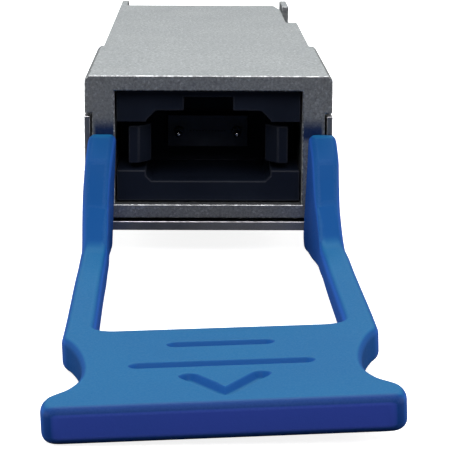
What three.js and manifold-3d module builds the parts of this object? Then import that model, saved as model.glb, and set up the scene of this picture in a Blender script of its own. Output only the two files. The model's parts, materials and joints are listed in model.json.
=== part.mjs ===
// Pull-tab optical transceiver module with a push-on multi-fibre port.
// Millimetres: X to the right, Y from the pull tab back to the card edge, Z up.
// Inside the assembly, y = 0 is the front face of the nose and z = 0 the underside of the tab.
import * as THREE from 'three';
import { mergeVertices } from 'three/addons/utils/BufferGeometryUtils.js';
import Module from 'manifold-3d';

const wasm = await Module();
wasm.setup();

// ---------------------------------------------------------------- driving sizes

const BODY_LENGTH = 72.4;
const BODY_HALF = 9.175;
const BODY_BOTTOM = 4.08;
const BODY_TOP = BODY_BOTTOM + 8.5;
const COVER_END = 66.7;
const PLATE = 1.2;
const FLOOR = 1.0;
const WALL_INSIDE = 7.7;
const RAIL_INSIDE = 8.45;
const PARTING = 7.0;
const SEAM = 0.05;

// Joined solids run JOIN into each other, and cutters run PAST beyond the faces they open.
const JOIN = 0.1;
const PAST = 1;

const NOSE_LENGTH = 20;
const NOSE_HALF = 9.35;
const NOSE_WAIST = 8.8;
const NOSE_BOTTOM = 2.5;
const NOSE_TOP = 13.4;
const NOSE_STEP = 10.54;
const NOSE_CHAMFER = 0.3;
const NOSE_RING = 6.0;
const RING_SILL = 0.06;

const PORT_HALF = 7.1;
const PORT_LOW = 3.54;
const PORT_HIGH = 12.23;
const PORT_AXIS = 7.9;
const FLANGE_START = 14.05;
const FLANGE_HALF = 7.9;

const GROOVE_FLOOR = 8.35;
const GROOVE_Z = [5.2, 9.8];
const GROOVE_START = 14.6;
const GROOVE_END = 37;
const SPRING_POCKET = { x: 7.4, y: [6.5, 13.4], z: [4.2, 5.8] };

const SIDE_POCKET = { inside: 8.1, y: [48.4, 65.5], floor: 9 };
const PLATE_CLIP = { y: [61.5, 67.5], x: [8.2, 7.5] };
const PEDESTAL = { x: [0.8, 5.2], y: [36.8, 41.2], bottom: 9.6 };
const RIB_Y = [29, 33, 46, 50.5, 55];
const RIB_WIDTH = 0.7;
const RIB_DROP = 0.5;
const CARD_ROOM = { half: 8.3, start: 65.4 };
const BOARD_LEDGE = { inside: 7.2, end: 64.8 };
const SEAT_PLATE = { half: 7.8, y: [18.3, 20.3], bottom: 3.34 };
const LABEL = { half: 6, y: [30, 56], thick: 0.08 };
const LABEL_MARGIN = 0.2;
const LABEL_SEAT_DEPTH = 0.12;

const SHEET = 0.45;
const SLIDER_INSIDE = 8.95;
const SLIDER_OUTSIDE = SLIDER_INSIDE + SHEET;
const SLIDER_FRONT = 0.15;
const SLIDER_BOTTOM = 1.5;
const BRIDGE_TOP = 2.2;
const BRIDGE_END = 12;
const CHEEK_TOP = 10.3;
const CHEEK_END = 14;
const BAND_Z = [5.6, 9.4];
const BAND_INSIDE = 8.45;
const BAND_END = 36;
const BAND_SWELL = 9.1;
const PRONG_Z = [4.2, 6.2];
const PRONG_LENGTH = 3.2;
const PRONG_INSIDE = 8.4;
const SPRING_EAR = { inside: 7.55, y: [12.6, 13.1], z: [4.35, 5.65] };

const TAB_REACH = 46;
const TAB_REAR = -0.15;
const TAB_THICK = 2.05;
const TAB_ARM_TOP = 8.9;
const TAB_HALF = 9.55;
const TAB_HEAD_HALF = 9.78;
const TAB_HEAD_CORNER = 1.1;
const TAB_WINDOW_HALF = 7.62;
const TAB_WINDOW_END = -30.3;
const TAB_WINDOW_CORNER = 1.2;
const ARM_HALF = [7.2, 9.35];
const ARM_TOP_EASE = 1.4;
const GUSSET_FOOT = -8.8;
const NOTCH_FLOOR = 7.8;
const NOTCH_Y = [-31.6, -39, -42.9];
const MARK_DEPTH = 0.35;
const MARK_WIDTH = 1.0;
const SHORT_BAR = { half: 3.1, y: -34.1 };
const LONG_BAR = { half: 5.22, y: -38.3 };
const CHEVRON = { half: 2.6, y: [-44.9, -43.1, -41.3, -40.5], inner: 1.85 };

const BOARD_Z = [6.6, 7.6];
const BOARD_FRONT = 20.6;
const BOARD_HALF = 7.6;
const CARD_HALF = 8.2;
const CARD_START = 65.7;
const CARD_END = 71.2;
const CONTACT_COUNT = 19;
const CONTACT_PITCH = 0.8;
const CONTACT_WIDTH = 0.5;
const CONTACT_THICK = 0.05;
const CONTACT_Y = [67.2, 70.5];
const PLATING_BAR_Y = [66.9, 67.3];
const BOARD_HOLE = 1.0;
const CARD_CORNER = 0.5;

const SCREW_X = 6.2;
const SCREW_Y = [24, 60.5];
const SCREW_POST = { top: 1.6, bottom: 2.0 };
const SCREW_BORE = { top: 0.84, bottom: 0.9, head: 1.5 };
const SCREW_HEAD = { radius: 1.4, z: [4.23, 5.36] };
const SCREW_SHANK = { radius: 0.78, z: [5.3, 10.4] };
const SCREW_SOCKET = { radius: 0.62, top: 4.85 };
const PLUG_SPACE = { half: 4.75, rise: 2.7, topCorner: 0.75, lowCorner: 0.4, end: 10 };
const PLUG_KEY = { half: 1.86, z: [2.5, 3.75] };
const HOOK_SLOT = { x: [4.5, 7.5], end: 9, z: [-1.88, 1.87] };
const HOOK_RISE = 1.45;
const RECEPTACLE = { face: 0.9, half: 7, rear: 16, flangeHalf: 7.8 };
const FERRULE_ROOM = { half: 3.26, rise: 1.31 };
const FERRULE_SEAT = { half: 3.75, rise: 1.75, start: 14.1 };
const FERRULE = { half: 3.2, rise: 1.25, rear: 15 };
const FERRULE_SHOULDER = { half: 3.6, rise: 1.6, y: [14.2, 15.95] };
const GLUE_WINDOW = { half: 1.5, y: [10.8, 13.2] };
const FERRULE_FACE = 8.4;
const PIN_X = 2.3;
const PIN_RADIUS = 0.34;
const PIN_HOLE = 0.37;
const PIN_Y = [6.4, 17];
const KEEPER_Y = [16.1, 17.2];
const GASKET = { half: 7.7, y: [16.1, 17.6], opening: { half: 5, z: [5, 10.8] } };
const RIBBON = { y: [16, 26.95], climb: 0.95, thick: 0.3, half: 1.55 };
const CLEAR = 0.04;

const SPRING = { wire: 0.11, turns: 7, coil: 0.44, x: 8.07, y: [6.6, 12.5], z: 5 };
const LENS_BLOCK = { half: 3.2, y: [27, 32.2], top: 9.9 };
const DIE_SPACE = { half: 2.5, y: [27.8, 31.4], top: 8.4 };
const ARRAY = { x: [0.3, 2.1], y: [28.2, 28.6], height: 0.2 };
const DRIVER = { x: [0.2, 2.2], y: [28.9, 30.9], height: 0.35 };
const RETIMER = { x: [1, 5], y: [37, 41], height: 0.9 };
const INDUCTOR = { x: [1.4, 4.2], y: [55.5, 58], height: 1.4 };
const CONTROLLER = { x: [-4.6, 0.4], y: [47, 52], height: 0.8 };
const SUPPLY_CHIP = { x: [2.2, 5.2], y: [47, 50], height: 0.75 };
const OSCILLATOR = { x: [2.4, 4.9], y: [51.8, 53.8], height: 0.75 };
const PAD_Z = [8.54, 9.58];
const STANDOFF = 0.02;

const CENTRE_Y = (BODY_LENGTH - TAB_REACH) / 2;

// ---------------------------------------------------------------- shape helpers

function solidOf(geometry) {
  const bare = geometry.clone();
  bare.deleteAttribute('normal');
  bare.deleteAttribute('uv');
  const merged = mergeVertices(bare);
  return new wasm.Manifold(new wasm.Mesh({
    numProp: 3,
    vertProperties: new Float32Array(merged.attributes.position.array),
    triVerts: new Uint32Array(merged.index.array),
  }));
}

function geometryOf(solid) {
  const { vertProperties, triVerts } = solid.getMesh();
  const geometry = new THREE.BufferGeometry();
  geometry.setAttribute('position', new THREE.BufferAttribute(vertProperties, 3));
  geometry.setIndex(new THREE.BufferAttribute(triVerts, 1));
  geometry.computeVertexNormals();
  return geometry;
}

function joined(...solids) {
  return solids.reduce((whole, piece) => whole.add(piece));
}

function cut(solid, ...tools) {
  return tools.reduce((rest, tool) => rest.subtract(tool), solid);
}

// A box between the [low, high] pairs of each axis.
function block(x, y, z) {
  const geometry = new THREE.BoxGeometry(x[1] - x[0], y[1] - y[0], z[1] - z[0]);
  geometry.translate((x[0] + x[1]) / 2, (y[0] + y[1]) / 2, (z[0] + z[1]) / 2);
  return solidOf(geometry);
}

function extruded(shape, depth, curveSegments) {
  return new THREE.ExtrudeGeometry(shape, { depth, bevelEnabled: false, curveSegments });
}

// An outline drawn in X and Y, raised between two heights.
function fromPlan(shape, z, curveSegments = 5) {
  const geometry = extruded(shape, z[1] - z[0], curveSegments);
  geometry.translate(0, 0, z[0]);
  return solidOf(geometry);
}

// An outline drawn in X and Z, run between two places along Y.
function fromFront(shape, y, curveSegments = 5) {
  const geometry = extruded(shape, y[1] - y[0], curveSegments);
  geometry.rotateX(Math.PI / 2);
  geometry.translate(0, y[1], 0);
  return solidOf(geometry);
}

// An outline drawn in Y and Z, run between two places along X.
function fromSide(shape, x, curveSegments = 5) {
  const geometry = extruded(shape, x[1] - x[0], curveSegments);
  const along = new THREE.Vector3(0, 1, 0);
  const up = new THREE.Vector3(0, 0, 1);
  const across = new THREE.Vector3(1, 0, 0);
  geometry.applyMatrix4(new THREE.Matrix4().makeBasis(along, up, across));
  geometry.translate(x[0], 0, 0);
  return solidOf(geometry);
}

function polygon(points) {
  return new THREE.Shape(points.map(([a, b]) => new THREE.Vector2(a, b)));
}

// A standing round bar around the vertical line through (x, y).
function post(x, y, radius, z, sides = 20) {
  const geometry = new THREE.CylinderGeometry(radius, radius, z[1] - z[0], sides);
  geometry.rotateX(Math.PI / 2);
  geometry.translate(x, y, (z[0] + z[1]) / 2);
  return solidOf(geometry);
}

// A round bar along Y through (x, z).
function rod(x, z, radius, y, sides = 14) {
  const geometry = new THREE.CylinderGeometry(radius, radius, y[1] - y[0], sides);
  geometry.translate(x, (y[0] + y[1]) / 2, z);
  return solidOf(geometry);
}

// The [low, high] pair a..b on the right (side = 1) or mirrored on the left (side = -1).
function onSide(side, a, b) {
  return side > 0 ? [a, b] : [-b, -a];
}

function bothSides(makeSolid) {
  return [makeSolid(-1), makeSolid(1)];
}

// ---------------------------------------------------------------- materials

function metal(color, roughness) {
  return new THREE.MeshStandardMaterial({ color, roughness, metalness: 0.9 });
}

function plain(color, roughness) {
  return new THREE.MeshStandardMaterial({ color, roughness, metalness: 0 });
}

const dieCast = metal(0xb9bfc0, 0.45);
const stampedSteel = metal(0x9a9ca0, 0.35);
const springSteel = metal(0xa8abb0, 0.25);
const gold = metal(0xd8b054, 0.25);
const bluePlastic = plain(0x2f6fb4, 0.55);
const blackPlastic = plain(0x14171c, 0.5);
const ferrulePlastic = plain(0x23262b, 0.4);
const amberPlastic = plain(0xb9782e, 0.2);
const fibreCoat = plain(0x58b7c4, 0.4);
const solderMask = plain(0x1d5a38, 0.45);
const chipPlastic = plain(0x1b1b1d, 0.6);
const bareDie = metal(0x5e6470, 0.2);
const padSilicone = plain(0x8fa2b5, 0.85);
const gasketFoam = plain(0x4a4c50, 0.9);
const labelFilm = plain(0xe9e9e6, 0.5);

// ---------------------------------------------------------------- die-cast shells

function noseOutline() {
  return polygon([
    [-NOSE_WAIST, NOSE_BOTTOM],
    [NOSE_WAIST, NOSE_BOTTOM],
    [NOSE_WAIST, NOSE_STEP],
    [NOSE_HALF, NOSE_STEP],
    [NOSE_HALF, NOSE_TOP - NOSE_CHAMFER],
    [NOSE_HALF - NOSE_CHAMFER, NOSE_TOP],
    [NOSE_CHAMFER - NOSE_HALF, NOSE_TOP],
    [-NOSE_HALF, NOSE_TOP - NOSE_CHAMFER],
    [-NOSE_HALF, NOSE_STEP],
    [-NOSE_WAIST, NOSE_STEP],
  ]);
}

function springPocket(side) {
  const { x, y, z } = SPRING_POCKET;
  return block(onSide(side, x, NOSE_HALF), y, z);
}

function latchGroove(side, y, z) {
  return block(onSide(side, GROOVE_FLOOR, NOSE_HALF + PAST), y, z);
}

function topShellNose() {
  const openEnd = NOSE_LENGTH + PAST;
  const nose = fromFront(noseOutline(), [0, NOSE_LENGTH]);
  const window = block([-PORT_HALF, PORT_HALF], [-PAST, FLANGE_START], [PORT_LOW, PORT_HIGH]);
  const seat = block([-FLANGE_HALF, FLANGE_HALF], [FLANGE_START, openEnd], [PORT_LOW, PORT_HIGH]);
  const openBelow = block([-NOSE_HALF, NOSE_HALF], [NOSE_RING, openEnd],
    [NOSE_BOTTOM - PAST, PORT_LOW + RING_SILL]);
  const runOut = (side) => latchGroove(side, [GROOVE_START, openEnd], GROOVE_Z);
  return cut(nose, window, seat, openBelow, ...bothSides(springPocket), ...bothSides(runOut));
}

function screwPosts(makePost) {
  return [-SCREW_X, SCREW_X].flatMap((x) => SCREW_Y.map((y) => makePost(x, y)));
}

// The pocket in the right wall, open from above, and the clipped corner of the plate behind it.
function rearPocket() {
  const heights = [SIDE_POCKET.floor, NOSE_TOP];
  const pocket = block([SIDE_POCKET.inside, BODY_HALF + PAST], SIDE_POCKET.y, heights);
  const [clipStart, clipEnd] = PLATE_CLIP.y;
  const clippedCorner = polygon([
    [PLATE_CLIP.x[0], clipStart],
    [RAIL_INSIDE, clipStart],
    [RAIL_INSIDE, clipEnd],
    [PLATE_CLIP.x[1], clipEnd],
  ]);
  return joined(pocket, fromPlan(clippedCorner, heights));
}

function topShell() {
  const plateBottom = BODY_TOP - PLATE;
  const insidePlate = BODY_TOP - 1;
  const bodyStart = NOSE_LENGTH - JOIN;
  const body = joined(
    block([-BODY_HALF, BODY_HALF], [bodyStart, COVER_END], [plateBottom, BODY_TOP]),
    ...bothSides((side) => block(onSide(side, WALL_INSIDE, BODY_HALF),
      [bodyStart, COVER_END], [PARTING, plateBottom + JOIN])),
    ...bothSides((side) => block(onSide(side, RAIL_INSIDE, BODY_HALF),
      [COVER_END - JOIN, BODY_LENGTH], [PARTING, BODY_TOP])),
    ...bothSides((side) => block(onSide(side, ...PEDESTAL.x), PEDESTAL.y,
      [PEDESTAL.bottom, insidePlate])),
    ...screwPosts((x, y) => post(x, y, SCREW_POST.top, [BOARD_Z[1] + SEAM, insidePlate])),
  );
  const ribHalf = WALL_INSIDE + JOIN;
  const ribs = RIB_Y.map((y) =>
    block([-ribHalf, ribHalf], [y, y + RIB_WIDTH], [plateBottom - RIB_DROP, insidePlate]));
  const groove = (side) => latchGroove(side, [bodyStart, GROOVE_END], [PARTING - PAST, GROOVE_Z[1]]);
  const boreEnd = SCREW_SHANK.z[1] + 0.4;
  return geometryOf(cut(
    joined(topShellNose(), body, ...ribs),
    cardRoom([PARTING - PAST, plateBottom]),
    rearPocket(),
    ...bothSides(groove),
    ...screwPosts((x, y) => post(x, y, SCREW_BORE.top, [BOARD_Z[1] - PAST, boreEnd], 14)),
  ));
}

// The space for the contact card behind the board's body.
function cardRoom(z) {
  return block([-CARD_ROOM.half, CARD_ROOM.half], [CARD_ROOM.start, COVER_END + JOIN], z);
}

function bottomShell() {
  const floor = [BODY_BOTTOM, BODY_BOTTOM + FLOOR];
  const inFloor = floor[1] - JOIN;
  const bodyStart = NOSE_LENGTH + SEAM;
  const underBoard = BOARD_Z[0] - SEAM;
  const shell = joined(
    block([-NOSE_WAIST, NOSE_WAIST], [NOSE_RING + JOIN, NOSE_LENGTH - SEAM], [NOSE_BOTTOM, PORT_LOW]),
    block([-SEAT_PLATE.half, SEAT_PLATE.half], SEAT_PLATE.y, [SEAT_PLATE.bottom, floor[1]]),
    block([-BODY_HALF, BODY_HALF], [bodyStart, COVER_END], floor),
    ...bothSides((side) => block(onSide(side, WALL_INSIDE, BODY_HALF),
      [bodyStart, COVER_END], [inFloor, PARTING - SEAM])),
    ...bothSides((side) => block(onSide(side, BOARD_LEDGE.inside, WALL_INSIDE + JOIN),
      [BOARD_FRONT, BOARD_LEDGE.end], [inFloor, underBoard])),
    ...bothSides((side) => block(onSide(side, RAIL_INSIDE, BODY_HALF),
      [COVER_END - JOIN, BODY_LENGTH], [BODY_BOTTOM, PARTING - SEAM])),
    ...screwPosts((x, y) => post(x, y, SCREW_POST.bottom, [inFloor, underBoard])),
  );
  const groove = (side) =>
    latchGroove(side, [NOSE_LENGTH - PAST, GROOVE_END], [GROOVE_Z[0], PARTING + PAST]);
  const seatHalf = LABEL.half + LABEL_MARGIN;
  const labelSeat = block([-seatHalf, seatHalf], [LABEL.y[0] - LABEL_MARGIN, LABEL.y[1] + LABEL_MARGIN],
    [BODY_BOTTOM - PAST, BODY_BOTTOM + LABEL_SEAT_DEPTH]);
  const headRoomTop = SCREW_HEAD.z[1] + CLEAR;
  return geometryOf(cut(
    shell,
    cardRoom([floor[1], PARTING + PAST]),
    labelSeat,
    ...bothSides(groove),
    ...screwPosts((x, y) => post(x, y, SCREW_BORE.bottom, [BODY_BOTTOM - PAST, PARTING], 14)),
    ...screwPosts((x, y) => post(x, y, SCREW_BORE.head, [BODY_BOTTOM - PAST, headRoomTop])),
  ));
}

// A pan-head screw seen from below, with a hexagonal socket in its head.
function coverScrew(x, y) {
  const screw = joined(
    post(x, y, SCREW_HEAD.radius, SCREW_HEAD.z),
    post(x, y, SCREW_SHANK.radius, SCREW_SHANK.z, 12),
  );
  return geometryOf(cut(screw, post(x, y, SCREW_SOCKET.radius, [BODY_BOTTOM, SCREW_SOCKET.top], 6)));
}

function bottomLabel() {
  const bottom = BODY_BOTTOM + STANDOFF;
  return geometryOf(block([-LABEL.half, LABEL.half], LABEL.y, [bottom, bottom + LABEL.thick]));
}

// ---------------------------------------------------------------- latch slider and pull tab

// The tongue that runs from the cheek round the face and forward into the tab's arm.
function prong(side, grow) {
  const inner = SLIDER_INSIDE - grow;
  const outer = SLIDER_OUTSIDE + grow;
  const innerTip = PRONG_INSIDE - grow;
  const outerTip = PRONG_INSIDE + SHEET + grow;
  const root = SLIDER_FRONT + 0.2;
  const tip = -PRONG_LENGTH - grow;
  const outline = [
    [outer, root],
    [inner, root],
    [inner, -0.1],
    [innerTip, -0.65],
    [innerTip, tip],
    [outerTip, tip],
    [outerTip, -0.85],
    [outer, -0.3],
  ];
  const shape = polygon(outline.map(([x, y]) => [side * x, y]));
  return fromPlan(shape, [PRONG_Z[0] - grow, PRONG_Z[1] + grow]);
}

// The band behind the cheek: it jogs into the body's groove and ends in the ejector ramp.
function ejectorBand(side) {
  const root = CHEEK_END - 1;
  const outside = BAND_INSIDE + SHEET;
  const outline = [
    [SLIDER_INSIDE, root],
    [SLIDER_INSIDE, 17.6],
    [BAND_INSIDE, 18.6],
    [BAND_INSIDE, BAND_END],
    [outside, BAND_END],
    [BAND_SWELL, BAND_END - 0.4],
    [BAND_SWELL, BAND_END - 1.2],
    [outside, BAND_END - 3],
    [outside, 18.8],
    [SLIDER_OUTSIDE, 17.8],
    [SLIDER_OUTSIDE, root],
  ];
  return fromPlan(polygon(outline.map(([x, y]) => [side * x, y])), BAND_Z);
}

function cheekOutline() {
  return polygon([
    [SLIDER_FRONT, SLIDER_BOTTOM],
    [BRIDGE_END, SLIDER_BOTTOM],
    [BRIDGE_END + 0.4, SLIDER_BOTTOM + 0.7],
    [CHEEK_END, BAND_Z[0] - 0.8],
    [CHEEK_END, BAND_Z[1] + 0.2],
    [CHEEK_END - 0.7, CHEEK_TOP],
    [SLIDER_FRONT, CHEEK_TOP],
  ]);
}

function latchSlider() {
  const bridge = block([-SLIDER_OUTSIDE, SLIDER_OUTSIDE], [SLIDER_FRONT, BRIDGE_END],
    [SLIDER_BOTTOM, BRIDGE_TOP]);
  const cheek = (side) => fromSide(cheekOutline(), onSide(side, SLIDER_INSIDE, SLIDER_OUTSIDE));
  const springEar = (side) =>
    block(onSide(side, SPRING_EAR.inside, SLIDER_INSIDE + JOIN), SPRING_EAR.y, SPRING_EAR.z);
  return geometryOf(joined(
    bridge,
    ...bothSides(cheek),
    ...bothSides(springEar),
    ...bothSides(ejectorBand),
    ...bothSides((side) => prong(side, 0)),
  ));
}

// Right half of the tab's outer edge, from the nose round the thumb notch to the front.
function tabEdge() {
  const [notchStart, notchMiddle, notchEnd] = NOTCH_Y;
  const edge = new THREE.Path();
  edge.moveTo(ARM_HALF[1], TAB_REAR);
  edge.lineTo(TAB_HALF, -10);
  edge.lineTo(TAB_HALF, notchStart);
  edge.bezierCurveTo(8.5, -33.8, NOTCH_FLOOR, -36.8, NOTCH_FLOOR, notchMiddle);
  edge.bezierCurveTo(NOTCH_FLOOR, -41, 8.2, -42.2, 9.2, notchEnd);
  edge.bezierCurveTo(9.6, -43.2, TAB_HEAD_HALF, -43.8, TAB_HEAD_HALF, -44.5);
  edge.quadraticCurveTo(TAB_HEAD_HALF, -TAB_REACH, TAB_HEAD_HALF - TAB_HEAD_CORNER, -TAB_REACH);
  return edge.getPoints(5);
}

// Right half of the window's edge, from the nose to the grip.
function tabWindowEdge() {
  const edge = new THREE.Path();
  edge.moveTo(ARM_HALF[0], TAB_REAR);
  edge.quadraticCurveTo(TAB_WINDOW_HALF, -4, TAB_WINDOW_HALF, -8);
  edge.lineTo(TAB_WINDOW_HALF, TAB_WINDOW_END + TAB_WINDOW_CORNER);
  edge.quadraticCurveTo(TAB_WINDOW_HALF, TAB_WINDOW_END,
    TAB_WINDOW_HALF - TAB_WINDOW_CORNER, TAB_WINDOW_END);
  return edge.getPoints(5);
}

// Plan of the tab: two arms, a window between them, thumb notches and a straight front edge.
function tabPlan() {
  const mirrored = (points) => points.map(({ x, y }) => new THREE.Vector2(-x, y));
  const outside = tabEdge();
  const inside = tabWindowEdge();
  return new THREE.Shape([
    ...outside,
    ...mirrored(outside).reverse(),
    ...mirrored(inside),
    ...[...inside].reverse(),
  ]);
}

// Side view of the tab: a level grip whose arms climb in a gusset up the face of the nose.
function tabProfile() {
  const shape = new THREE.Shape();
  shape.moveTo(TAB_REAR, 1.5);
  shape.lineTo(TAB_REAR, TAB_ARM_TOP - 0.2);
  shape.quadraticCurveTo(-0.4, TAB_ARM_TOP + 0.15, -1, 8.55);
  shape.lineTo(-7, 3.55);
  shape.quadraticCurveTo(GUSSET_FOOT, TAB_THICK, -11, TAB_THICK);
  shape.lineTo(-TAB_REACH, TAB_THICK);
  shape.lineTo(-TAB_REACH, 0);
  shape.lineTo(-1.6, 0);
  shape.quadraticCurveTo(TAB_REAR, 0, TAB_REAR, 1.5);
  return shape;
}

// Front view of the tab: the arms' tops are rounded towards the port.
function tabFrontView() {
  const outer = TAB_HEAD_HALF + 0.2;
  const inner = ARM_HALF[0] - JOIN;
  const above = TAB_ARM_TOP + JOIN;
  const right = new THREE.Path();
  right.moveTo(outer, -JOIN);
  right.lineTo(outer, TAB_ARM_TOP - 0.9);
  right.lineTo(9.15, above);
  right.lineTo(8.5, above);
  right.quadraticCurveTo(ARM_HALF[0], TAB_ARM_TOP, inner, TAB_ARM_TOP - ARM_TOP_EASE);
  right.lineTo(inner, 5);
  const points = right.getPoints(5);
  return new THREE.Shape([
    ...points,
    ...points.map(({ x, y }) => new THREE.Vector2(-x, y)).reverse(),
  ]);
}

function tabMarks() {
  const z = [TAB_THICK - MARK_DEPTH, TAB_THICK + PAST];
  const bar = ({ half, y }) => block([-half, half], [y - MARK_WIDTH / 2, y + MARK_WIDTH / 2], z);
  const [tip, innerTip, outerEnd, innerEnd] = CHEVRON.y;
  const chevron = polygon([
    [0, tip],
    [-CHEVRON.half, outerEnd],
    [-CHEVRON.inner, innerEnd],
    [0, innerTip],
    [CHEVRON.inner, innerEnd],
    [CHEVRON.half, outerEnd],
  ]);
  return [bar(SHORT_BAR), bar(LONG_BAR), fromPlan(chevron, z)];
}

function pullTab() {
  const depth = [-TAB_REACH - 1, 1];
  const body = fromPlan(tabPlan(), [0, TAB_ARM_TOP + 1])
    .intersect(fromSide(tabProfile(), [-11, 11]))
    .intersect(fromFront(tabFrontView(), depth));
  return geometryOf(cut(body, ...tabMarks(), ...bothSides((side) => prong(side, CLEAR))));
}

class Helix extends THREE.Curve {
  constructor(radius, length, turns) {
    super();
    Object.assign(this, { radius, length, turns });
  }

  getPoint(t, target = new THREE.Vector3()) {
    const angle = 2 * Math.PI * this.turns * t;
    return target.set(this.radius * Math.cos(angle), this.length * t, this.radius * Math.sin(angle));
  }
}

function returnSpring(side) {
  const { wire, turns, coil, x, y, z } = SPRING;
  const length = y[1] - y[0] - 2 * wire;
  const section = new THREE.Shape().absarc(0, 0, wire, 0, 2 * Math.PI);
  const geometry = new THREE.ExtrudeGeometry(section, {
    steps: turns * 10,
    curveSegments: 6,
    extrudePath: new Helix(coil, length, turns),
  });
  geometry.translate(side * x, y[0] + wire, z);
  return geometryOf(solidOf(geometry));
}

// ---------------------------------------------------------------- optical port

// The pair of heights at the given distances from the port's axis.
function fromAxis(low, high) {
  return [PORT_AXIS + low, PORT_AXIS + high];
}

// The rounded space the plug goes into, seen from the front.
function plugOutline() {
  const { half, rise, topCorner, lowCorner } = PLUG_SPACE;
  const [low, high] = fromAxis(-rise, rise);
  return polygon([
    [-half, low + lowCorner],
    [lowCorner - half, low],
    [half - lowCorner, low],
    [half, low + lowCorner],
    [half, high - topCorner],
    [half - topCorner, high],
    [topCorner - half, high],
    [-half, high - topCorner],
  ]);
}

function mpoReceptacle() {
  const { face, half, rear, flangeHalf } = RECEPTACLE;
  const height = [PORT_LOW + 0.1, PORT_HIGH - 0.1];
  const body = joined(
    block([-half, half], [face, FERRULE_SEAT.start + 0.4], height),
    block([-flangeHalf, flangeHalf], [FLANGE_START + 0.1, rear], height),
  );
  const key = block([-PLUG_KEY.half, PLUG_KEY.half], [0, PLUG_SPACE.end], fromAxis(...PLUG_KEY.z));
  const hookSlot = (side) =>
    block(onSide(side, ...HOOK_SLOT.x), [0, HOOK_SLOT.end], fromAxis(...HOOK_SLOT.z));
  const room = ({ half: side, rise }, y) => block([-side, side], y, fromAxis(-rise, rise));
  return geometryOf(cut(
    body,
    fromFront(plugOutline(), [0, PLUG_SPACE.end]),
    key,
    ...bothSides(hookSlot),
    room(FERRULE_ROOM, [HOOK_SLOT.end, rear]),
    room(FERRULE_SEAT, [FERRULE_SEAT.start, rear + PAST]),
  ));
}

// A spring arm whose nose snaps behind the plug's shoulder.
function latchHook(side) {
  const outline = [
    [5.8, 8.8],
    [5.0, 8.8],
    [5.0, 3.6],
    [4.4, 3.3],
    [4.4, 2.8],
    [5.3, 1.5],
    [6.1, 1.5],
    [6.1, 3.2],
    [5.8, 3.8],
  ];
  const shape = polygon(outline.map(([x, y]) => [side * x, y]));
  return geometryOf(fromPlan(shape, fromAxis(-HOOK_RISE, HOOK_RISE)));
}

function pinHoles(y) {
  return bothSides((side) => rod(side * PIN_X, PORT_AXIS, PIN_HOLE, y));
}

function mtFerrule() {
  const bar = ({ half, rise }, y) => block([-half, half], y, fromAxis(-rise, rise));
  const body = joined(
    bar(FERRULE, [FERRULE_FACE, FERRULE.rear]),
    bar(FERRULE_SHOULDER, FERRULE_SHOULDER.y),
  );
  const glueWindow = block([-GLUE_WINDOW.half, GLUE_WINDOW.half], GLUE_WINDOW.y, fromAxis(0.5, 2));
  return geometryOf(cut(body, glueWindow, ...pinHoles([FERRULE_FACE - PAST, PIN_Y[1]])));
}

function guidePin(side) {
  const [tip, rear] = PIN_Y;
  const geometry = new THREE.LatheGeometry([
    new THREE.Vector2(0, tip),
    new THREE.Vector2(0.12, tip),
    new THREE.Vector2(0.26, tip + 0.2),
    new THREE.Vector2(PIN_RADIUS, tip + 0.7),
    new THREE.Vector2(PIN_RADIUS, rear),
    new THREE.Vector2(0, rear),
  ], 12);
  geometry.translate(side * PIN_X, 0, PORT_AXIS);
  return geometryOf(solidOf(geometry));
}

function pinKeeper() {
  const through = [KEEPER_Y[0] - PAST, KEEPER_Y[1] + PAST];
  const half = FERRULE_SHOULDER.half;
  const keeper = block([-half, half], KEEPER_Y, fromAxis(-1.4, 1.4));
  const ribbonSlot = block([-1.75, 1.75], through, fromAxis(-0.4, 2));
  return geometryOf(cut(keeper, ribbonSlot, ...pinHoles(through)));
}

// Conductive foam ring behind the receptacle's flange.
function shieldGasket() {
  const { half, y, opening } = GASKET;
  const ring = block([-half, half], y, [PORT_LOW + 0.2, PORT_HIGH - 0.8]);
  const through = [y[0] - PAST, y[1] + PAST];
  return geometryOf(cut(ring, block([-opening.half, opening.half], through, opening.z)));
}

// Flat ribbon of fibres in a gentle rise from the ferrule to the lens block.
function fibreRibbon() {
  const [start, end] = RIBBON.y;
  const [low, high] = fromAxis(-RIBBON.thick / 2, RIBBON.thick / 2);
  const { climb, half } = RIBBON;
  const shape = new THREE.Shape();
  shape.moveTo(start, high);
  shape.bezierCurveTo(20, high, 23, high + climb, end, high + climb);
  shape.lineTo(end, low + climb);
  shape.bezierCurveTo(23, low + climb, 20, low, start, low);
  return geometryOf(fromSide(shape, [-half, half], 10));
}

// ---------------------------------------------------------------- board and what it carries

function circuitBoard() {
  const outline = polygon([
    [-BOARD_HALF, BOARD_FRONT],
    [BOARD_HALF, BOARD_FRONT],
    [BOARD_HALF, CARD_START],
    [CARD_HALF, CARD_START],
    [CARD_HALF, CARD_END - CARD_CORNER],
    [CARD_HALF - CARD_CORNER, CARD_END],
    [CARD_CORNER - CARD_HALF, CARD_END],
    [-CARD_HALF, CARD_END - CARD_CORNER],
    [-CARD_HALF, CARD_START],
    [-BOARD_HALF, CARD_START],
  ]);
  const through = [BOARD_Z[0] - PAST, BOARD_Z[1] + PAST];
  const holes = screwPosts((x, y) => post(x, y, BOARD_HOLE, through, 16));
  return geometryOf(cut(fromPlan(outline, BOARD_Z), ...holes));
}

// One row of edge contacts, whose pads meet in the plating bar at their roots.
function edgeContacts(z) {
  const first = -CONTACT_PITCH * (CONTACT_COUNT - 1) / 2;
  const half = CONTACT_WIDTH / 2;
  const bar = block([first - half, half - first], PLATING_BAR_Y, z);
  const pads = Array.from({ length: CONTACT_COUNT }, (_, index) => {
    const x = first + index * CONTACT_PITCH;
    return block([x - half, x + half], CONTACT_Y, z);
  });
  return geometryOf(joined(bar, ...pads));
}

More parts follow.
